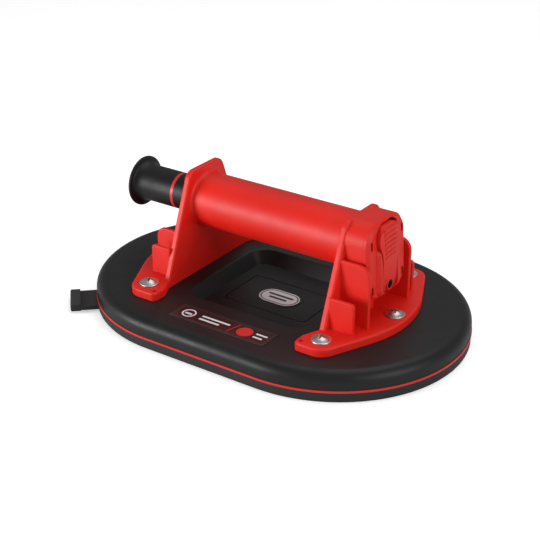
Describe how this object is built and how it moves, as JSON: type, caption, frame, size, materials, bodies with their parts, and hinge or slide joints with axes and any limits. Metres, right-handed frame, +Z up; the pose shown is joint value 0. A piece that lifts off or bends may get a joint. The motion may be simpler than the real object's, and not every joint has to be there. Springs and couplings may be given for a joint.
{
  "type": "vacuum suction cup",
  "caption": "Hand-pump vacuum lifter: oval rubber-sealed plate under a bar handle, with a sprung plunger at one end of the bar and a thumb release lever at the other.",
  "frame": {"origin": "centre of the seal's contact face, at the bottom of the part", "axes": "+X along the handle, from the plunger towards the release lever; +Z up, away from the gripped surface; -Y towards the side with the printed strip"},
  "size_m": [0.29, 0.196, 0.1026],
  "materials": {
    "black_plastic": "fine satin texture",
    "red_plastic": "satin moulded",
    "rubber": "matt, slightly dusty",
    "red_trim": "satin",
    "plunger_plastic": "semi-gloss",
    "zinc_steel": "bright zinc plate",
    "spring_steel": "drawn wire",
    "brass": "turned",
    "liner": "drawn tube",
    "white_nylon": "natural nylon",
    "soft_seal": "smooth moulded",
    "print_film": "printed film",
    "filter_foam": "sintered felt"
  },
  "bodies": {
    "base": {"base_shell": "black_plastic", "backing_gasket": "soft_seal", "backing_plate": "zinc_steel", "plate_screws": "zinc_steel", "accent_ring": "red_trim", "seal_pad": "rubber", "recess_cover": "black_plastic", "badge": "red_trim", "label_strip": "print_film", "handle_body": "red_plastic", "foot_screws": "zinc_steel", "threaded_inserts": "brass", "guide_bush": "plunger_plastic", "plunger_wiper": "soft_seal", "pump_barrel": "liner", "barrel_head": "white_nylon", "head_o_rings": "soft_seal", "intake_valve": "soft_seal", "return_spring": "spring_steel", "valve_block": "white_nylon", "valve_block_screws": "zinc_steel", "release_spring": "spring_steel", "vacuum_duct": "liner", "duct_o_ring": "soft_seal", "suction_port": "brass", "suction_filter": "filter_foam", "end_cover": "red_plastic", "lever_pin": "zinc_steel"},
    "plunger_body": {"plunger": "plunger_plastic", "indicator_ring": "red_trim", "piston": "white_nylon", "piston_seal": "soft_seal", "piston_pin": "zinc_steel"},
    "lever_body": {"release_lever": "red_plastic", "vent_bush": "plunger_plastic"},
    "stem_body": {"release_stem": "brass", "release_seal": "soft_seal"}
  },
  "joints": [
    {"name": "plunger_slide", "type": "slide", "parent": "base", "child": "plunger_body", "axis": [1, 0, 0], "range_m": [0, 0.042], "stiffness_N_per_m": 200, "springref_m": -0.02, "deforming": ["return_spring"]},
    {"name": "release_press", "type": "hinge", "parent": "base", "child": "lever_body", "pos_m": [0.082, 0, 0.058], "axis": [0, -1, 0], "range_deg": [0, 5], "stiffness_Nm_per_rad": 0.6, "springref_deg": -2.86},
    {"name": "stem_slide", "type": "slide", "parent": "base", "child": "stem_body", "axis": [-1, 0, 0], "range_m": [0, 0.0016], "deforming": ["release_spring"]}
  ],
  "couplings": [
    {"joint": "stem_slide", "follows": "release_press", "m_per_rad": 0.0183}
  ]
}
